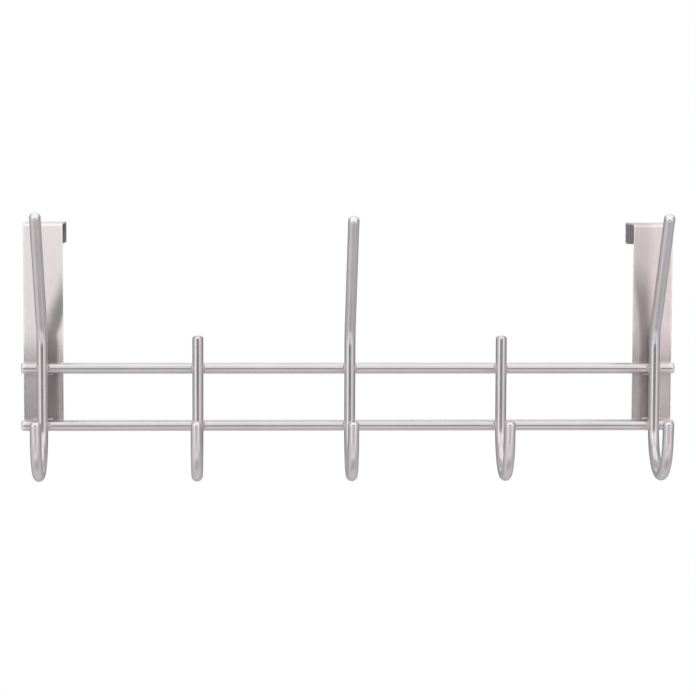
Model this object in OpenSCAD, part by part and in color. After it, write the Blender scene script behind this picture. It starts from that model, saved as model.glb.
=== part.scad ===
// Over-the-door hook rack. Two bent sheet steel hangers slip over the top of a door and
// carry two cross rods; five double-ended wire hooks are welded across the rods.
// Millimetres. +X is to the right, -Y is into the room and +Z is up. The origin is midway
// between the hangers, where the top edge of the door meets its front face.

/* [Wire] */
// Diameter of the steel wire of the rods and the hooks
wire_d = 7.1; // [6.5:0.1:7.5]
// Corner rounding at the ends of the cross rods
rod_end_round = 1.5; // [0.8:0.1:2.2]
// Corner rounding at the tips of the hooks
hook_tip_round = 1.9; // [1.5:0.1:3]

/* [Cross rods] */
// Length of each cross rod
rod_l = 422; // [420:1:460]
// Depth of the upper rod's axis below the top of the door
upper_rod_drop = 92; // [75:1:110]
// Distance between the axes of the two rods
rod_spacing = 37; // [30:1:60]

/* [Door hangers] */
// Distance between the centre lines of the two hangers
hanger_spacing = 394; // [360:1:394]
// Width of the hanger strap
strap_w = 25.4; // [20:0.2:25.4]
// Thickness of the hanger strap
strap_t = 1.2; // [1:0.1:1.6]
// Thickness of the door between the front leg and the rear lip
door_gap = 35; // [30:0.5:50]
// Length of the rear lip below the top of the door
rear_lip_l = 13.2; // [10:0.2:40]
// Length of the front leg below the lower rod's axis
front_leg_tail = 2; // [0:0.5:10]
// Outside radius of the hanger's two bends
bend_r = 2.2; // [1.8:0.1:3]
// Corner radius at both ends of the strap
strap_corner_r = 2; // [1:0.5:5]

/* [Hooks] */
// Distance from the centre hook to each short hook
short_hook_pitch = 97.6; // [80:0.2:110]
// Radius of the lower curve, to the axis of the wire
curve_r = 28; // [20:0.5:35]
// Outward lean of the lower tip from the vertical, in degrees
tip_lean = 8; // [4:0.5:15]
// Height of the lower tip above the lower rod's axis
lower_tip_rise = 9.5; // [0:0.5:20]
// Height of a short hook's top above the upper rod's axis
short_top_rise = 21.5; // [10:0.5:40]
// Height above the upper rod's axis at which a tall hook starts to lean
lean_start = 14; // [8:0.5:40]
// Radius of the bend where a tall hook starts to lean, to the axis of the wire
lean_bend_r = 26; // [8:0.5:30]
// Forward lean of a tall hook's arm from the vertical, in degrees
lean_angle = 33.5; // [10:0.5:45]
// Length of the straight part of the centre tall hook's arm
centre_arm_l = 84.4; // [50:0.2:120]
// Length of the straight part of the two outer tall hooks' arms
outer_arm_l = 86.4; // [50:0.2:120]
// How much bending thickens the wire of the hooks, in radius
bend_swell = 0.01; // [0.01:0.01:0.05]

/* [Welds] */
// Depth by which a hook's wire is set into each rod
set_down = 0.4; // [0.2:0.1:0.8]
// Radius of the weld flash between a hook and a rod
flash_r = 4.7; // [4.2:0.1:5.5]
// Length of the weld bead between a hanger and a rod
bead_l = 13.6; // [8:0.2:18]
// Radius of the weld bead
bead_r = 2.1; // [1.8:0.1:2.4]
// Height of the bead's axis above or below the rod's axis
bead_offset = 2.9; // [2.6:0.1:3.2]
// Distance of the bead's axis in front of the strap
bead_standoff = 1; // [0.6:0.1:1.2]

/* [Hidden] */
$fn = 96;
wire_r = wire_d / 2;
upper_z = -upper_rod_drop;
lower_z = upper_z - rod_spacing;
strap_face_y = -strap_t;
rod_y = strap_face_y - wire_r;
hook_y = rod_y - wire_d + set_down;
contact_y = rod_y - wire_r + set_down / 2;
bend_lap = 0.3;
tip_l = (lower_tip_rise + curve_r * sin(tip_lean)) / cos(tip_lean);
tall_x = hanger_spacing / 2;
bend_in_r = bend_r - strap_t;
front_leg_l = -lower_z + front_leg_tail;
steel = [0.74, 0.72, 0.71];
weld_steel = [0.62, 0.60, 0.58];

// ---- Wire pieces ----

// Half outline of a round bar from height 0 to l, its top corner rounded.
module bar_outline(l, corner) {
  square([wire_r, l - corner]);
  square([wire_r - corner, l]);
  translate([wire_r - corner, l - corner]) circle(r = corner);
}

// Straight wire along +Z with a rounded end at the top.
module rounded_wire(l, corner) {
  rotate_extrude() {
    intersection() {
      bar_outline(l, corner);
      square([wire_d, l + wire_d]);
    }
  }
}

// Bend in the YZ plane. It starts at the origin, heading along +Z, and curves towards -Y.
module wire_bend(radius, angle, swell) {
  translate([0, -radius, 0])
    rotate([90, 0, 90])
      rotate_extrude(angle = angle)
        translate([radius, 0])
          circle(r = wire_r + swell);
}

// ---- Cross rods ----

// Bar along X, centred, with both ends rounded.
module rod_bar(z) {
  translate([0, rod_y, z]) {
    rotate([0, 90, 0]) rounded_wire(rod_l / 2, rod_end_round);
    rotate([0, -90, 0]) rounded_wire(rod_l / 2, rod_end_round);
  }
}

module upper_rod() {
  color(steel) rod_bar(upper_z);
}

module lower_rod() {
  color(steel) rod_bar(lower_z);
}

// ---- Door hangers ----

// Quarter ring of sheet metal, its bend centre at the origin, in the +X +Y quadrant.
module sheet_bend() {
  intersection() {
    difference() {
      circle(r = bend_r);
      circle(r = bend_in_r);
    }
    square([bend_r, bend_r]);
  }
}

// Side outline of the bent strap: X runs towards the back of the door and Y upwards.
module hanger_outline() {
  translate([-strap_t, -front_leg_l]) square([strap_t, front_leg_l - bend_in_r]);
  translate([bend_in_r, -bend_in_r]) mirror([1, 0]) sheet_bend();
  translate([bend_in_r, 0]) square([door_gap - 2 * bend_in_r, strap_t]);
  translate([door_gap - bend_in_r, -bend_in_r]) sheet_bend();
  translate([door_gap, -rear_lip_l]) square([strap_t, rear_lip_l - bend_in_r]);
}

// Waste between a square corner and the rounded corner of the strap, along Y.
module corner_waste() {
  difference() {
    translate([-1, -strap_t, -1]) cube([strap_corner_r + 1, 3 * strap_t, strap_corner_r + 1]);
    translate([strap_corner_r, 2 * strap_t + 1, strap_corner_r])
      rotate([90, 0, 0])
        cylinder(r = strap_corner_r, h = 4 * strap_t + 1);
  }
}

// Both corner cuts at the end of a leg whose front face is at y and whose end is at z.
module end_corners(y, z) {
  translate([-strap_w / 2, y, z]) corner_waste();
  translate([strap_w / 2, y, z]) mirror([1, 0, 0]) corner_waste();
}

module hanger(x) {
  translate([x, 0, 0]) {
    difference() {
      translate([-strap_w / 2, 0, 0])
        rotate([90, 0, 90])
          linear_extrude(height = strap_w)
            hanger_outline();
      end_corners(strap_face_y, -front_leg_l);
      end_corners(door_gap, -rear_lip_l);
    }
  }
}

module hanger_left() {
  color(steel) hanger(-hanger_spacing / 2);
}

module hanger_right() {
  color(steel) hanger(hanger_spacing / 2);
}

// ---- Hooks ----

// Bend that starts at the origin, and a straight wire of length l that goes on from it to a
// rounded tip. The wire starts a little way back, inside the thicker bend.
module bent_wire(radius, angle, l) {
  wire_bend(radius, angle, bend_swell);
  translate([0, -radius, 0])
    rotate([angle, 0, 0])
      translate([0, radius, -bend_lap])
        rounded_wire(l + bend_lap, hook_tip_round);
}

// Lower part of every hook: the curve below the lower rod and the short tip that leans outwards.
module lower_curve() {
  translate([0, 0, lower_z]) mirror([0, 0, 1]) bent_wire(curve_r, 180 - tip_lean, tip_l);
}

// Straight wire that stands in front of the rods and ends in a rounded top.
module short_stem() {
  translate([0, 0, lower_z - bend_lap])
    rounded_wire(rod_spacing + short_top_rise + bend_lap, hook_tip_round);
}

// Straight wire in front of the rods, and the arm that leans towards the room above them.
module tall_stem(arm_l) {
  translate([0, 0, lower_z - bend_lap])
    cylinder(r = wire_r, h = rod_spacing + lean_start + 2 * bend_lap);
  translate([0, 0, upper_z + lean_start]) bent_wire(lean_bend_r, lean_angle, arm_l);
}

// A whole hook at x, saddled where it is set into the two rods. An arm_l of 0 makes a short one.
module hook(x, arm_l) {
  difference() {
    translate([x, hook_y, 0]) {
      lower_curve();
      if (arm_l > 0) tall_stem(arm_l);
      else short_stem();
    }
    rod_bar(upper_z);
    rod_bar(lower_z);
  }
}

module hook_tall_left() {
  color(steel) hook(-tall_x, outer_arm_l);
}

module hook_short_left() {
  color(steel) hook(-short_hook_pitch, 0);
}

module hook_tall_centre() {
  color(steel) hook(0, centre_arm_l);
}

module hook_short_right() {
  color(steel) hook(short_hook_pitch, 0);
}

module hook_tall_right() {
  color(steel) hook(tall_x, outer_arm_l);
}

// ---- Welds ----

// Bead that fills the corner between a rod and a hanger; side is -1 below the rod, 1 above.
module rod_bead(x, z, side) {
  core_l = bead_l - 2 * bead_r;
  difference() {
    translate([x - core_l / 2, strap_face_y - bead_standoff, z + side * bead_offset]) {
      rotate([0, 90, 0]) cylinder(r = bead_r, h = core_l);
      sphere(r = bead_r);
      translate([core_l, 0, 0]) sphere(r = bead_r);
    }
    translate([x - bead_l, strap_face_y, z - 3 * wire_d]) cube([2 * bead_l, wire_d, 6 * wire_d]);
    rod_bar(z);
  }
}

module bead_upper_left() {
  color(weld_steel) rod_bead(-hanger_spacing / 2, upper_z, -1);
}

module bead_lower_left() {
  color(weld_steel) rod_bead(-hanger_spacing / 2, lower_z, 1);
}

module bead_upper_right() {
  color(weld_steel) rod_bead(hanger_spacing / 2, upper_z, -1);
}

module bead_lower_right() {
  color(weld_steel) rod_bead(hanger_spacing / 2, lower_z, 1);
}

// Flash squeezed out around the contact of a hook's stem at x with the rod at height z.
module hook_weld(x, z) {
  difference() {
    translate([x, contact_y, z]) sphere(r = flash_r);
    rod_bar(z);
    translate([x, hook_y, z - wire_d]) cylinder(r = wire_r, h = 2 * wire_d);
  }
}

module weld_tall_left_upper() {
  color(weld_steel) hook_weld(-tall_x, upper_z);
}

module weld_tall_left_lower() {
  color(weld_steel) hook_weld(-tall_x, lower_z);
}

module weld_short_left_upper() {
  color(weld_steel) hook_weld(-short_hook_pitch, upper_z);
}

module weld_short_left_lower() {
  color(weld_steel) hook_weld(-short_hook_pitch, lower_z);
}

module weld_tall_centre_upper() {
  color(weld_steel) hook_weld(0, upper_z);
}

module weld_tall_centre_lower() {
  color(weld_steel) hook_weld(0, lower_z);
}

module weld_short_right_upper() {
  color(weld_steel) hook_weld(short_hook_pitch, upper_z);
}

module weld_short_right_lower() {
  color(weld_steel) hook_weld(short_hook_pitch, lower_z);
}

module weld_tall_right_upper() {
  color(weld_steel) hook_weld(tall_x, upper_z);
}

module weld_tall_right_lower() {
  color(weld_steel) hook_weld(tall_x, lower_z);
}

hanger_left();
hanger_right();
upper_rod();
lower_rod();
hook_tall_left();
hook_short_left();
hook_tall_centre();
hook_short_right();
hook_tall_right();
bead_upper_left();
bead_lower_left();
bead_upper_right();
bead_lower_right();
weld_tall_left_upper();
weld_tall_left_lower();
weld_short_left_upper();
weld_short_left_lower();
weld_tall_centre_upper();
weld_tall_centre_lower();
weld_short_right_upper();
weld_short_right_lower();
weld_tall_right_upper();
weld_tall_right_lower();
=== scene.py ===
import math

import bmesh
import bpy
from mathutils import Matrix, Vector, noise


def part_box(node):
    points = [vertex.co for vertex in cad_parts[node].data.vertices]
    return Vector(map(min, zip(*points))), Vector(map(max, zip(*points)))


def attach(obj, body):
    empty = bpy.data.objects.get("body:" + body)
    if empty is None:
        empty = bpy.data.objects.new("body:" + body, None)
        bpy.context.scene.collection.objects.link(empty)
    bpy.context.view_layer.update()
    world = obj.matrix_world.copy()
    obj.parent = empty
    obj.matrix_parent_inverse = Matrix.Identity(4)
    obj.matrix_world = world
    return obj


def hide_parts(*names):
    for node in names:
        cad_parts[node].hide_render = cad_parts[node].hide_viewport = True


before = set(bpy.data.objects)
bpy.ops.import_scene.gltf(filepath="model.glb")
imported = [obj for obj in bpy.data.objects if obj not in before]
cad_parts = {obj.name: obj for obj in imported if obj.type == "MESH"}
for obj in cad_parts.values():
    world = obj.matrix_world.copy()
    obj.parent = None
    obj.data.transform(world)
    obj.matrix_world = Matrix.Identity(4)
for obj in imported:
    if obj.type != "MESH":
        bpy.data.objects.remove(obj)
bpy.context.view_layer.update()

# ---------------------------------------------------------------- camera

# At azimuth 0 the camera faces the rack's front squarely, and a positive one moves it towards +X.
CAM_TARGET = Vector((-0.0008, -0.0012, -0.0792))
CAM_DISTANCE = 1.6287
CAM_AZIMUTH = math.radians(-2.45)
CAM_ELEVATION = math.radians(4.7)
CAM_ROLL = math.radians(0.2)
LENS_MM = 130.23
SENSOR_MM = 36.0


def add_camera():
    away = Vector((
        math.sin(CAM_AZIMUTH) * math.cos(CAM_ELEVATION),
        -math.cos(CAM_AZIMUTH) * math.cos(CAM_ELEVATION),
        math.sin(CAM_ELEVATION),
    ))
    right = Vector((0, 0, 1)).cross(away).normalized()
    up = away.cross(right)
    turned_right = right * math.cos(CAM_ROLL) + up * math.sin(CAM_ROLL)
    turned_up = up * math.cos(CAM_ROLL) - right * math.sin(CAM_ROLL)
    place = Matrix((turned_right, turned_up, away)).transposed().to_4x4()
    place.translation = CAM_TARGET + away * CAM_DISTANCE
    data = bpy.data.cameras.new("camera")
    data.lens = LENS_MM
    data.sensor_width = SENSOR_MM
    data.clip_start = 0.01
    data.clip_end = 100.0
    camera = bpy.data.objects.new("camera", data)
    camera.matrix_world = place
    bpy.context.scene.collection.objects.link(camera)
    bpy.context.scene.camera = camera


# ---------------------------------------------------------------- node helpers


class Graph:
    """Short calls for building a node tree."""

    def __init__(self, tree):
        self.tree = tree
        self.tree.nodes.clear()

    def node(self, kind, inputs=None, **settings):
        made = self.tree.nodes.new(kind)
        for key, value in settings.items():
            setattr(made, key, value)
        for key, value in (inputs or {}).items():
            self.feed(made.inputs[key], value)
        return made

    def feed(self, socket, value):
        if isinstance(value, bpy.types.NodeSocket):
            self.tree.links.new(value, socket)
        else:
            socket.default_value = value

    def math(self, operation, a, b=0.0, c=None):
        made = self.node("ShaderNodeMath", {0: a, 1: b}, operation=operation)
        if c is not None:
            self.feed(made.inputs[2], c)
        return made.outputs[0]

    def pick(self, choice, if_no, if_yes):
        """if_no where choice is 0 and if_yes where it is 1."""
        return self.math("MULTIPLY_ADD", choice, self.math("SUBTRACT", if_yes, if_no), if_no)

    def length(self, a, b):
        """How long the arrow with the two steps a and b is."""
        squares = self.math("ADD", self.math("MULTIPLY", a, a), self.math("MULTIPLY", b, b))
        return self.math("SQRT", squares)

    def turned(self, a, b, angle):
        """The same arrow's steps along axes that are turned by angle."""
        cosine, sine = math.cos(angle), math.sin(angle)
        first = self.math("MULTIPLY_ADD", b, sine, self.math("MULTIPLY", a, cosine))
        second = self.math("MULTIPLY_ADD", a, -sine, self.math("MULTIPLY", b, cosine))
        return first, second

    def xyz(self, x, y, z):
        return self.node("ShaderNodeCombineXYZ", {0: x, 1: y, 2: z}).outputs[0]

    def split(self, vector):
        parts = self.node("ShaderNodeSeparateXYZ", {0: vector})
        return parts.outputs[0], parts.outputs[1], parts.outputs[2]

    def noise(self, vector, scale, detail=3.0, roughness=0.5):
        """A cloudy pattern, mostly from 0.3 to 0.7. A ramp within that range sets its contrast."""
        return self.node("ShaderNodeTexNoise", {
            "Vector": vector, "Scale": scale, "Detail": detail, "Roughness": roughness,
        }).outputs["Fac"]

    def mixed(self, factor, a, b):
        """Colour a where factor is 0 and b where it is 1. The node's colour sockets are 6, 7 and 2."""
        made = self.node("ShaderNodeMix", {0: factor}, data_type="RGBA")
        self.feed(made.inputs[6], a if isinstance(a, bpy.types.NodeSocket) else (*a, 1.0))
        self.feed(made.inputs[7], b if isinstance(b, bpy.types.NodeSocket) else (*b, 1.0))
        return made.outputs[2]

    def bump(self, height, distance, normal=None):
        made = self.node("ShaderNodeBump", {"Height": height, "Distance": distance, "Strength": 1.0})
        if normal is not None:
            self.feed(made.inputs["Normal"], normal)
        return made.outputs["Normal"]

    def scaled(self, vector, factor):
        made = self.node("ShaderNodeVectorMath", {0: vector, "Scale": factor}, operation="SCALE")
        return made.outputs[0]

    def added(self, a, b):
        return self.node("ShaderNodeVectorMath", {0: a, 1: b}, operation="ADD").outputs[0]

    def ramp(self, value, low, high, out_low=0.0, out_high=1.0):
        """A smooth step: out_low at low and before it, out_high at high and past it."""
        made = self.node("ShaderNodeMapRange", {
            "Value": value, "From Min": low, "From Max": high, "To Min": out_low, "To Max": out_high,
        }, interpolation_type="SMOOTHSTEP")
        return made.outputs["Result"]

    def band(self, value, low, high, soft_low, soft_high):
        """1 between low and high, falling smoothly to 0 over the soft widths outside them."""
        rise = self.ramp(value, low - soft_low, low)
        fall = self.ramp(value, high, high + soft_high, 1.0, 0.0)
        return self.math("MULTIPLY", rise, fall)


# ---------------------------------------------------------------- studio

NEUTRAL = (1.0, 1.0, 1.0)
WARM = (1.0, 0.955, 0.95)
PINK = (1.0, 0.6, 0.6)
FLOOR_GLOW = (1.0, 0.93, 0.96)
COOL_GLOW = (0.965, 0.92, 1.03)

# The world stands in for the lamps. Each panel: azimuth from and to, its softness, elevation from and to,
# softness below and above, strength and colour. All angles are in degrees. Azimuth 0 is in front of the
# rack, and positive is towards +X.
PANELS = (
    # Soft boxes on the left and on the right, each with a brighter stretch towards the front.
    (-92, -42, 28, -34, 40, 40, 30, 0.30, NEUTRAL),
    (-53, -39, 11, -14, 20, 16, 30, 0.50, NEUTRAL),
    (34, 76, 22, -30, 30, 25, 30, 0.27, WARM),
    (34, 50, 10, -14, 20, 16, 30, 0.32, WARM),
    # A soft box over the front, with a slight pink cast beside it, and the ceiling.
    (-26, 26, 34, 16, 48, 14, 24, 0.50, NEUTRAL),
    (5, 20, 8, 4, 34, 6, 12, 0.16, PINK),
    (-181, 181, 1, 62, 91, 16, 1, 0.70, NEUTRAL),
    # Light thrown back by the floor: from straight below, from the front and from behind.
    (-181, 181, 1, -91, -50, 1, 16, 0.16, FLOOR_GLOW),
    (-95, 95, 35, -50, -24, 20, 12, 0.08, COOL_GLOW),
    (-28, 28, 26, -54, -24, 12, 12, 0.30, COOL_GLOW),
    (120, 181, 28, -85, -24, 10, 14, 0.17, FLOOR_GLOW),
    (-181, -120, 28, -85, -24, 10, 14, 0.17, FLOOR_GLOW),
    # Soft boxes over the back.
    (128, 181, 30, 14, 44, 12, 14, 0.42, NEUTRAL),
    (-181, -128, 30, 14, 44, 12, 14, 0.42, NEUTRAL),
)

# Each shade: the same angles, and how much of the light it takes away. The first is a dark patch straight
# in front, and the other two darken the wires' outlines.
SHADES = (
    (-13, 15, 13, -9, -2, 6, 12, 0.38),
    (112, 152, 16, -1, 50, 13, 20, 0.30),
    (-152, -112, 16, -1, 50, 13, 20, 0.30),
)
AMBIENT = 0.38
BACKDROP = (1.0, 1.0, 1.0, 1.0)


def add_world():
    world = bpy.data.worlds.new("studio")
    world.use_nodes = True
    bpy.context.scene.world = world
    g = Graph(world.node_tree)
    across, depth, rise = g.split(g.node("ShaderNodeTexCoord").outputs["Generated"])
    forward = g.math("MULTIPLY", depth, -1.0)
    azimuth = g.math("DEGREES", g.math("ARCTAN2", across, forward))
    elevation = g.math("DEGREES", g.math("ARCSINE", rise))

    def window(a0, a1, a_soft, e0, e1, below, above):
        sideways = g.band(azimuth, a0, a1, a_soft, a_soft)
        return g.math("MULTIPLY", sideways, g.band(elevation, e0, e1, below, above))

    light = g.xyz(AMBIENT, AMBIENT, AMBIENT)
    for *place, strength, colour in PANELS:
        tint = tuple(strength * c for c in colour)
        light = g.added(light, g.scaled(tint, window(*place)))
    for *place, taken in SHADES:
        kept = g.math("MULTIPLY_ADD", window(*place), -taken, 1.0)
        light = g.scaled(light, kept)
    lit = g.node("ShaderNodeBackground", {"Color": light, "Strength": 1.0})
    seen = g.node("ShaderNodeBackground", {"Color": BACKDROP, "Strength": 1.0})
    rays = g.node("ShaderNodeLightPath").outputs["Is Camera Ray"]
    mix = g.node("ShaderNodeMixShader", {0: rays, 1: lit.outputs[0], 2: seen.outputs[0]})
    g.node("ShaderNodeOutputWorld", {"Surface": mix.outputs[0]})


FLOOR_Z = -0.8
FLOOR_RADIUS = 2.1
FLOOR_FADE_FROM = 1.1
FLOOR_FADE_TO = 0.98 * FLOOR_RADIUS
FLOOR_SIDES = 96
FLOOR_CLOUD_SCALE = 3.0
FLOOR_TINT = (0.93, 0.925, 0.92)
FLOOR_DARKER = 0.965
FLOOR_ROUGH = 0.7


def add_floor():
    """A pale round floor that fades into the backdrop. The steel reflects PANELS instead of it."""
    mesh = bpy.data.meshes.new("floor")
    bm = bmesh.new()
    bmesh.ops.create_circle(bm, cap_ends=True, segments=FLOOR_SIDES, radius=FLOOR_RADIUS)
    bm.to_mesh(mesh)
    bm.free()
    floor = bpy.data.objects.new("floor", mesh)
    floor.location = (0, 0, FLOOR_Z)
    bpy.context.scene.collection.objects.link(floor)
    floor.visible_glossy = False
    floor.visible_diffuse = False
    mat = bpy.data.materials.new("pale_floor")
    mat.use_nodes = True
    g = Graph(mat.node_tree)
    coord = g.node("ShaderNodeTexCoord").outputs["Object"]
    distance = g.node("ShaderNodeVectorMath", {0: coord}, operation="LENGTH").outputs["Value"]
    shade = g.ramp(g.noise(coord, FLOOR_CLOUD_SCALE, 4.0), 0.3, 0.7, FLOOR_DARKER, 1.0)
    colour = g.scaled(FLOOR_TINT, shade)
    pale = g.node("ShaderNodeBsdfPrincipled", {"Base Color": colour, "Roughness": FLOOR_ROUGH})
    clear = g.node("ShaderNodeBsdfTransparent")
    fade = g.ramp(distance, FLOOR_FADE_FROM, FLOOR_FADE_TO)
    mix = g.node("ShaderNodeMixShader", {0: fade, 1: pale.outputs[0], 2: clear.outputs[0]})
    g.node("ShaderNodeOutputMaterial", {"Surface": mix.outputs[0]})
    mesh.materials.append(mat)


# ---------------------------------------------------------------- sizes taken from the frame

ROD_LOW, ROD_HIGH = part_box("upper_rod")
WIRE_R = (ROD_HIGH.z - ROD_LOW.z) / 2
ROD_HALF = ROD_HIGH.x
UPPER_Z = (ROD_HIGH.z + ROD_LOW.z) / 2
LOWER_Z = sum(corner.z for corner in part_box("lower_rod")) / 2
HOOK_LOW, HOOK_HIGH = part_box("hook_short_left")
STEM_Y = HOOK_HIGH.y - WIRE_R
CURVE_R = LOWER_Z - HOOK_LOW.z - WIRE_R
CURVE_Y = STEM_Y - CURVE_R
HANGER_LOW, HANGER_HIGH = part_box("hanger_right")
HANGER_X = (HANGER_LOW.x + HANGER_HIGH.x) / 2
STRAP_HALF = (HANGER_HIGH.x - HANGER_LOW.x) / 2
STRAP_T = -HANGER_LOW.y
LIP_Y = HANGER_HIGH.y - STRAP_T

# The bend where a tall hook starts to lean, and the arm's angle from upright.
LEAN_Z = UPPER_Z + 0.014
LEAN_R = 0.026
LEAN_ANGLE = math.radians(33.5)

# The short tip in front: its outward lean and the height of its end.
TIP_LEAN = math.radians(8)
TIP_Z = LOWER_Z + 0.0095


def arm_run(name):
    """How far a tall hook's arm runs straight on past the bend."""
    return (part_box(name)[1].z - LEAN_Z - LEAN_R * math.sin(LEAN_ANGLE)) / math.cos(LEAN_ANGLE)


OUTER_ARM_END = arm_run("hook_tall_left")
CENTRE_ARM_END = arm_run("hook_tall_centre")


# ---------------------------------------------------------------- materials

# The patterns in brushed metal. A scale is how fine a pattern is across the grain, and a stretch is the
# share of that fineness that it keeps along the grain.
GRAIN_SCALE = 1500.0
GRAIN_STRETCH = 0.02
SCRATCH_SCALE = 3800.0
SCRATCH_STRETCH = 0.08
CLOUD_SCALE = 38.0
SWELL_SCALE = 85.0
# The grain's share in the tint's pattern. The clouds make the rest.
GRAIN_SHARE = 0.45
# The smoothest and the roughest places, as shares of the roughness asked for.
SMOOTHEST = 0.86
ROUGHEST = 1.16
# Where the metal is worn: how much lighter it is, and up to what, and how much less rough.
POLISHED_GAIN = 1.14
POLISHED_LIMIT = 0.97
POLISHED_SMOOTHER = 0.55


def satin(g, across, along, worn, base, shade, roughness, streaks, wobble):
    """Brushed metal: grain along the piece, cloudy tint, and worn places that are lighter and smoother.

    across is a pair of values in metres that stay the same along the grain, and along runs with it."""
    a, b = across
    place = g.xyz(a, b, along)
    grain = g.noise(g.xyz(a, b, g.math("MULTIPLY", along, GRAIN_STRETCH)), GRAIN_SCALE, 4.0, 0.6)
    scratch = g.noise(g.xyz(a, b, g.math("MULTIPLY", along, SCRATCH_STRETCH)), SCRATCH_SCALE, 2.0, 0.5)
    cloud = g.noise(place, CLOUD_SCALE, 4.0, 0.55)
    swell = g.noise(place, SWELL_SCALE, 1.0, 0.4)
    tone = g.math("MULTIPLY_ADD", grain, GRAIN_SHARE, g.math("MULTIPLY", cloud, 1 - GRAIN_SHARE))
    colour = g.mixed(g.ramp(tone, 0.36, 0.64), shade, base)
    polished = tuple(min(POLISHED_LIMIT, c * POLISHED_GAIN) for c in base)
    colour = g.mixed(worn, colour, polished)
    mottle = g.math("MULTIPLY_ADD", cloud, 0.5, g.math("MULTIPLY", scratch, 0.5))
    rough = g.ramp(mottle, 0.34, 0.66, roughness * SMOOTHEST, roughness * ROUGHEST)
    rough = g.math("MULTIPLY_ADD", g.math("MULTIPLY", worn, rough), -POLISHED_SMOOTHER, rough)
    normal = g.bump(grain, streaks)
    normal = g.bump(swell, wobble, normal=normal)
    return colour, rough, normal


def metal(g, mat, colour, rough, normal, drawn_out=0.0, way=None):
    """Ends the material with bare metal. drawn_out is how far its highlights are drawn out along way."""
    bsdf = g.node("ShaderNodeBsdfPrincipled", {
        "Base Color": colour, "Metallic": 1.0, "Roughness": rough, "Normal": normal,
    })
    if drawn_out:
        bsdf.inputs["Anisotropic"].default_value = drawn_out
        g.feed(bsdf.inputs["Tangent"], way)
    g.node("ShaderNodeOutputMaterial", {"Surface": bsdf.outputs[0]})
    return mat


def new_material(name):
    """A new material, its empty graph, and the object's own x, y and z in it."""
    mat = bpy.data.materials.new(name)
    mat.use_nodes = True
    g = Graph(mat.node_tree)
    return mat, g, g.split(g.node("ShaderNodeTexCoord").outputs["Object"])


WIRE_BASE = (0.765, 0.727, 0.736)
WIRE_SHADE = (0.70, 0.662, 0.676)
WIRE_ROUGH = 0.2
WIRE_GRAIN = 0.0000022
WIRE_WOBBLE = 0.00006

# An end is worn bright up to WEAR_FULL from it, and WEAR_REACH is where the wear stops.
WEAR_FULL = 0.0014
WEAR_REACH = 0.0035


def end_wear(g, distance):
    """The worn bright patch at an end; distance is how far the point is from that end."""
    return g.ramp(distance, WEAR_FULL, WEAR_REACH, 1.0, 0.0)


def wire_metal(g, mat, across, along, worn):
    parts = satin(g, across, along, worn, WIRE_BASE, WIRE_SHADE, WIRE_ROUGH, WIRE_GRAIN, WIRE_WOBBLE)
    return metal(g, mat, *parts)


def rod_steel():
    mat, g, (x, y, z) = new_material("drawn_wire_rods")
    worn = end_wear(g, g.math("SUBTRACT", ROD_HALF, g.math("ABSOLUTE", x)))
    return wire_metal(g, mat, (y, z), x, worn)


def lower_wire(g, y, z):
    """The stem, the lower curve and the short tip: how far the point is outside the wire's line, how far it
    is along the wire, and 1 where it is in front of the curve's middle."""
    out = g.math("SUBTRACT", y, CURVE_Y)
    rise = g.math("SUBTRACT", z, LOWER_Z)
    front = g.math("LESS_THAN", out, 0.0)
    turned_out, turned_rise = g.turned(out, rise, TIP_LEAN)
    out = g.pick(front, out, turned_out)
    rise = g.pick(front, rise, turned_rise)
    above = g.math("MAXIMUM", rise, 0.0)
    below = g.math("MULTIPLY", g.math("MINIMUM", rise, 0.0), -1.0)
    side = g.math("SUBTRACT", g.length(out, below), CURVE_R)
    turn = g.math("MULTIPLY_ADD", front, -TIP_LEAN, g.math("ARCTAN2", below, out))
    straight = g.math("MULTIPLY", g.math("SIGN", out), above)
    run = g.math("SUBTRACT", g.math("MULTIPLY", turn, CURVE_R), straight)
    return side, run, front


def leaning_wire(g, y, z):
    """The upper bend and the arm past it: how far the point is outside the wire's line, how far it is past
    the bend, and how high it is above the bend's start."""
    back = g.math("SUBTRACT", y, STEM_Y - LEAN_R)
    up = g.math("SUBTRACT", z, LEAN_Z)
    outward, past = g.turned(back, up, LEAN_ANGLE)
    side = g.math("SUBTRACT", g.length(outward, g.math("MINIMUM", past, 0.0)), LEAN_R)
    return side, past, up


def hook_steel():
    """The grain follows the bent wire: round the lower curve, up the stem and along the leaning arm."""
    mat, g, (x, y, z) = new_material("drawn_wire_hooks")
    low_side, low_run, front = lower_wire(g, y, z)
    high_side, past, up = leaning_wire(g, y, z)
    leaning = g.math("GREATER_THAN", up, 0.0)
    side = g.pick(leaning, low_side, high_side)
    run = g.pick(leaning, low_run, g.math("SUBTRACT", LOWER_Z - LEAN_Z, up))
    # The short tips in front and the ends of the leaning arms are worn.
    to_front_tip = g.math("ABSOLUTE", g.math("SUBTRACT", TIP_Z, z))
    front_tip = g.math("MULTIPLY", front, end_wear(g, to_front_tip))
    is_centre = g.math("LESS_THAN", g.math("ABSOLUTE", x), 2 * WIRE_R)
    arm_end = g.pick(is_centre, OUTER_ARM_END, CENTRE_ARM_END)
    arm_tip = g.math("MULTIPLY", leaning, end_wear(g, g.math("SUBTRACT", arm_end, past)))
    worn = g.math("MAXIMUM", front_tip, arm_tip)
    return wire_metal(g, mat, (x, side), run, worn)


STRAP_ROUGH = 0.34
STRAP_GRAIN = 0.0000016
STRAP_WOBBLE = 0.0002
# The strap's reflections are drawn out up and down it.
STRAP_DRAWN_OUT = 0.7
STRAP_DRAWN_WAY = (0.02, 0.3, 1.0)

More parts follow.
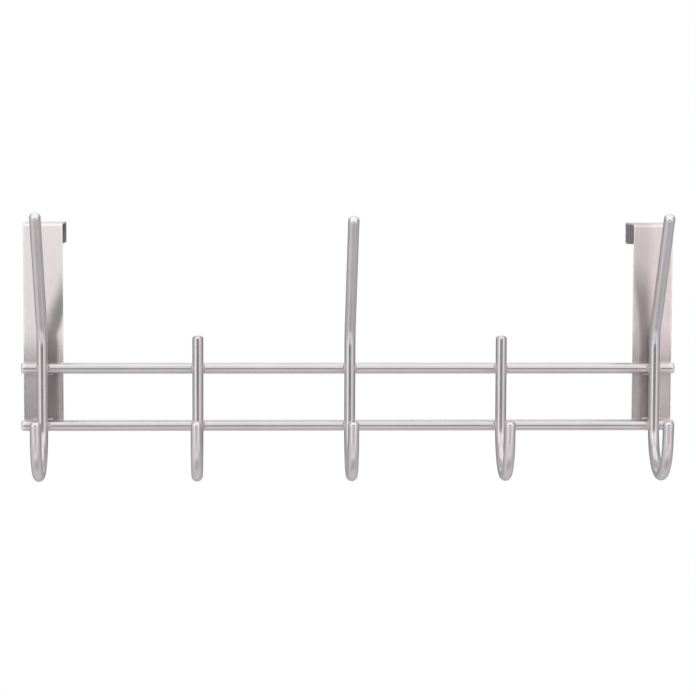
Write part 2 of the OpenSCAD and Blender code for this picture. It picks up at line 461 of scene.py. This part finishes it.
# What is left of the tint where the painted shade is deepest. The strap is painted darker, as shade,
# towards the bottom in two steps: a short one that ends at the upper rod, and a long one that ends at the
# lower rod.
LOW_SHADE_DEEPEST = 0.66
LOW_SHADE_SHORT_FROM = UPPER_Z + 0.02
LOW_SHADE_LONG_FROM = UPPER_Z + 0.01

# The side against the door: how fine its mottle is, what is left of the tint in the mottle's dark parts,
# and how much rougher the side is than the front.
MOTTLE_SCALE = 500.0
DOOR_SIDE_DARK = 0.82
DOOR_SIDE_ROUGHER = 0.1

# The strap's worn edges: how far in from the edge the wear starts to fade, where it stops, and how fine its
# patches are.
EDGE_WEAR_FULL = 0.0002
EDGE_WEAR_REACH = 0.0014
EDGE_WEAR_SCALE = 220.0

# The bow is only in the shading: level below BOW_LOW, curved up to BOW_HIGH, and straight above that.
BOW_LOW = UPPER_Z
BOW_HIGH = UPPER_Z + 0.027

# The painted band of the hook wire's reflection and shadow on the strap: the heights where it starts to show
# and where it shows in full, the height from which it drifts inward, the height below which it weakens, and
# what is left of it at the lower rod.
BAND_SHOWS = -0.016
BAND_FULL = -0.052
BAND_DRIFTS = UPPER_Z + 0.022
BAND_WEAKENS = UPPER_Z + 0.02
BAND_LEFT_LOW = 0.70
# How far it reaches each way from its middle, and how softly it ends on its inner and its outer side.
BAND_INNER, BAND_OUTER = -0.0012, 0.001
BAND_SOFT_INNER, BAND_SOFT_OUTER = 0.0038, 0.009
# It strays from its line by half of BAND_STRAY each way.
BAND_STRAY = 0.003
BAND_STRAY_SCALE = 60.0

# The inner half is painted darker, as painted shade, from HALF_FULL inward, and as bright as the rest from
# HALF_STOPS outward.
HALF_FULL = -0.005
HALF_STOPS = 0.002

# What differs between the two straps:
# base, shade: the two tints that the grain and the clouds mix; the right strap's are pinker and darker as
# painted light, for the pink light falling on it
# low_shade: how much darker the strap is painted low down, as painted shade
# inside: the tint of the side that lies against the door, darkened as painted shade
# inner: how much darker the inner half is painted, as painted shade
# bow: how strongly the strap is bowed
# band_at: the painted band's place across the strap, positive towards the outer edge
# drift: how far the band moves outward for each metre higher up, so it is below 0 to move inward
# band: how dark the painted band of the hook wire's reflection and shadow is
STRAP_LOOKS = {
    "left": {
        "base": (0.985, 0.93, 0.93),
        "shade": (0.93, 0.87, 0.875),
        "low_shade": 0.80,
        "inside": (0.54, 0.52, 0.52),
        "inner": 0.0,
        "bow": 0.24,
        "band_at": -0.0063,
        "drift": -0.30,
        "band": 0.62,
    },
    # The right strap's pinker, darker base and shade are painted light.
    "right": {
        "base": (0.955, 0.862, 0.868),
        "shade": (0.89, 0.795, 0.805),
        "low_shade": 0.30,
        "inside": (0.76, 0.73, 0.735),
        "inner": 0.17,
        "bow": 0.16,
        "band_at": -0.0045,
        "drift": -0.13,
        "band": 0.44,
    },
}


def low_painted_shade(g, look, colour, z):
    """The tint with painted shade: darker from just above the upper rod down, more so towards the lower rod.
    """
    short = g.ramp(z, UPPER_Z, LOW_SHADE_SHORT_FROM, 0.5, 0.0)
    long = g.ramp(z, LOWER_Z, LOW_SHADE_LONG_FROM, 0.5, 0.0)
    low_shade = g.math("MULTIPLY", g.math("ADD", short, long), look["low_shade"])
    return g.mixed(low_shade, colour, tuple(LOW_SHADE_DEEPEST * c for c in look["shade"]))


def painted_wire_and_inner_shade(g, look, colour, place, across, z):
    """The tint with the hook wire's painted reflection and shadow, and painted shade on the inner half."""
    higher = g.math("MAXIMUM", g.math("SUBTRACT", z, BAND_DRIFTS), 0.0)
    middle = g.math("MULTIPLY_ADD", higher, look["drift"], look["band_at"])
    stray = g.math("MULTIPLY_ADD", g.noise(place, BAND_STRAY_SCALE), BAND_STRAY, -BAND_STRAY / 2)
    from_middle = g.math("ADD", g.math("SUBTRACT", across, middle), stray)
    # A painted band of the hook wire's reflection and shadow, beside the wire.
    wire_shade_band = g.band(from_middle, BAND_INNER, BAND_OUTER, BAND_SOFT_INNER, BAND_SOFT_OUTER)
    wire_shade_band = g.math("MULTIPLY", wire_shade_band, g.ramp(z, BAND_SHOWS, BAND_FULL))
    wire_shade_band = g.math("MULTIPLY", wire_shade_band, g.ramp(z, LOWER_Z, BAND_WEAKENS, BAND_LEFT_LOW, 1.0))
    inner_half = g.ramp(across, HALF_STOPS, HALF_FULL)
    kept = g.math("MULTIPLY_ADD", wire_shade_band, -look["band"], 1.0)
    kept = g.math("MULTIPLY", kept, g.math("MULTIPLY_ADD", inner_half, -look["inner"], 1.0))
    return g.scaled(colour, kept)


def against_door(g, y, z):
    """1 on the strap's faces that lie against the door: behind, under the bridge and inside the rear lip."""
    margin = 0.3 * STRAP_T
    behind = g.math("GREATER_THAN", y, -margin)
    under = g.math("LESS_THAN", z, margin)
    before_lip = g.math("LESS_THAN", y, LIP_Y + margin)
    return g.math("MULTIPLY", g.math("MULTIPLY", behind, under), before_lip)


def bow_height(g, z):
    """The bow's profile against height: level, then curving, then straight with a slope of 1."""
    span = BOW_HIGH - BOW_LOW
    part_way = g.math("DIVIDE", g.math("SUBTRACT", z, BOW_LOW), span)
    part_way = g.math("MINIMUM", g.math("MAXIMUM", part_way, 0.0), 1.0)
    curved = g.math("MULTIPLY", g.math("MULTIPLY", part_way, part_way), span / 2)
    straight = g.math("MAXIMUM", g.math("SUBTRACT", z, BOW_HIGH), 0.0)
    return g.math("ADD", curved, straight)


def strap_steel(side):
    """Strip brushed along its length, with painted shade low down, on the inner half and on the side that
    lies against the door, and the hook wire's painted reflection and shadow beside the wire.
    """
    look = STRAP_LOOKS[side]
    mat, g, (x, y, z) = new_material("brushed_strip_" + side)
    place = g.xyz(x, y, z)
    across = g.math("SUBTRACT", g.math("ABSOLUTE", x), HANGER_X)
    to_edge = g.math("SUBTRACT", STRAP_HALF, g.math("ABSOLUTE", across))
    patchy = g.ramp(g.noise(place, EDGE_WEAR_SCALE, 3.0, 0.6), 0.3, 0.6, 0.3, 1.0)
    worn = g.math("MULTIPLY", g.ramp(to_edge, EDGE_WEAR_FULL, EDGE_WEAR_REACH, 1.0, 0.0), patchy)
    brushed = (x, g.math("MULTIPLY", y, GRAIN_STRETCH))
    colour, rough, normal = satin(
        g, brushed, g.math("ADD", y, z), worn, look["base"], look["shade"],
        STRAP_ROUGH, STRAP_GRAIN, STRAP_WOBBLE)
    colour = low_painted_shade(g, look, colour, z)
    colour = painted_wire_and_inner_shade(g, look, colour, place, across, z)
    # The door side keeps its own mottle and is rougher; its tint is darkened as painted shade.
    mottle = g.ramp(g.noise(place, MOTTLE_SCALE, 4.0, 0.6), 0.35, 0.65)
    shaded_door_tint = g.mixed(mottle, tuple(DOOR_SIDE_DARK * c for c in look["inside"]), look["inside"])
    inside = against_door(g, y, z)
    colour = g.mixed(inside, colour, shaded_door_tint)
    rough = g.math("MULTIPLY_ADD", inside, DOOR_SIDE_ROUGHER, rough)
    normal = g.bump(bow_height(g, z), -look["bow"], normal=normal)
    return metal(g, mat, colour, rough, normal, drawn_out=STRAP_DRAWN_OUT, way=g.xyz(*STRAP_DRAWN_WAY))


WELD_BASE = (0.74, 0.70, 0.70)
WELD_STRAW = (0.66, 0.60, 0.57)
WELD_BLUE = (0.47, 0.46, 0.50)
HEAT_TINT_SCALE = 260.0
FLECK_SCALE = 1600.0
FLECK_HEIGHT = 0.00003


def weld_steel():
    """Bare weld metal: straw and blue heat tints, and fine flecks."""
    mat, g, (x, y, z) = new_material("weld_metal")
    place = g.xyz(x, y, z)
    tint = g.noise(place, HEAT_TINT_SCALE, 3.0, 0.55)
    fleck = g.noise(place, FLECK_SCALE, 4.0, 0.65)
    colour = g.mixed(g.ramp(tint, 0.42, 0.62), WELD_BASE, WELD_STRAW)
    colour = g.mixed(g.math("MULTIPLY", g.ramp(tint, 0.6, 0.72), 0.7), colour, WELD_BLUE)
    rough = g.ramp(fleck, 0.3, 0.7, 0.22, 0.42)
    normal = g.bump(fleck, FLECK_HEIGHT)
    return metal(g, mat, colour, rough, normal)


# ---------------------------------------------------------------- shapes

SAME_PLACE = 1e-6
FLAT = math.radians(0.5)


def mesh_copy(name):
    """The CAD node's mesh as a bmesh, its split corners joined and its flat faces whole."""
    bm = bmesh.new()
    bm.from_mesh(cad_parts[name].data)
    bmesh.ops.remove_doubles(bm, verts=bm.verts, dist=SAME_PLACE)
    bmesh.ops.dissolve_limit(bm, angle_limit=FLAT, verts=bm.verts, edges=bm.edges)
    return bm


def stand_in(bm, node_name, new_name, mat):
    """An object from bm that stands for the CAD node."""
    for face in bm.faces:
        face.smooth = True
    mesh = bpy.data.meshes.new(new_name)
    bm.to_mesh(mesh)
    bm.free()
    mesh.materials.append(mat)
    made = bpy.data.objects.new(new_name, mesh)
    bpy.context.scene.collection.objects.link(made)
    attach(made, "root")
    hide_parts(node_name)
    return made


EDGE_EASE = 0.0004
EDGE_STEPS = 3
SHARP = math.radians(40)


def eased_hanger(name, mat):
    """The bent strap with its cut edges rounded over, as tumbling leaves them."""
    bm = mesh_copy(name)
    sharp = [e for e in bm.edges if e.is_manifold and e.calc_face_angle() > SHARP]
    bmesh.ops.bevel(
        bm, geom=sharp, offset=EDGE_EASE, offset_type="OFFSET", segments=EDGE_STEPS, profile=0.5,
        affect="EDGES", clamp_overlap=True)
    made = stand_in(bm, name, name + "_strap", mat)
    made.modifiers.new("even_normals", "WEIGHTED_NORMAL").keep_sharp = True


VOXEL = 0.0003


def even_form(name):
    """The CAD node's form as a bmesh of small, even faces, its corners slightly softened."""
    bm = mesh_copy(name)
    mesh = bpy.data.meshes.new("casting")
    bm.to_mesh(mesh)
    bm.free()
    form = bpy.data.objects.new("casting", mesh)
    bpy.context.scene.collection.objects.link(form)
    remesh = form.modifiers.new("even", "REMESH")
    remesh.mode = "VOXEL"
    remesh.voxel_size = VOXEL
    solid = bpy.data.meshes.new_from_object(form.evaluated_get(bpy.context.evaluated_depsgraph_get()))
    bpy.data.objects.remove(form)
    bm = bmesh.new()
    bm.from_mesh(solid)
    bmesh.ops.smooth_vert(bm, verts=bm.verts, factor=0.5, use_axis_x=True, use_axis_y=True, use_axis_z=True)
    bm.normal_update()
    return bm


LUMP = 0.00022
LUMP_SCALE = 620
RIPPLE = 0.00016
RIPPLE_PITCH = 0.0017
RIPPLE_STRAY = 0.5
RIPPLE_STRAY_SCALE = 300
# About the mean of a ripple's profile, taken off so that the bead keeps its size.
RIPPLE_MEAN = 0.6


def lumpy_weld(name, mat):
    """Weld metal with the small lumps and ripples it freezes with."""
    bm = even_form(name)
    is_bead = name.startswith("bead")
    middle = sum(v.co.x for v in bm.verts) / len(bm.verts)
    moves = []
    for v in bm.verts:
        rise = LUMP * noise.noise(v.co * LUMP_SCALE)
        if is_bead:
            stray = RIPPLE_STRAY * noise.noise(v.co * RIPPLE_STRAY_SCALE)
            phase = (v.co.x - middle) / RIPPLE_PITCH + stray
            rise += RIPPLE * (abs(math.sin(math.pi * phase)) - RIPPLE_MEAN)
        moves.append(v.normal * rise)
    for v, move in zip(bm.verts, moves):
        v.co += move
    stand_in(bm, name, name + "_metal", mat)


def paint(obj, mat):
    """Puts the material in every slot of a CAD node."""
    if not obj.material_slots:
        obj.data.materials.append(mat)
    for one in obj.material_slots:
        one.material = mat


# ---------------------------------------------------------------- build

add_camera()
add_world()
add_floor()
bpy.context.scene.view_settings.view_transform = "Standard"

straps = {side: strap_steel(side) for side in STRAP_LOOKS}
rods = rod_steel()
hooks = hook_steel()
weld = weld_steel()
for name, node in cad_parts.items():
    if name.startswith("hanger"):
        eased_hanger(name, straps[name.removeprefix("hanger_")])
    elif name.startswith(("bead", "weld")):
        lumpy_weld(name, weld)
    else:
        paint(node, rods if name.endswith("rod") else hooks)
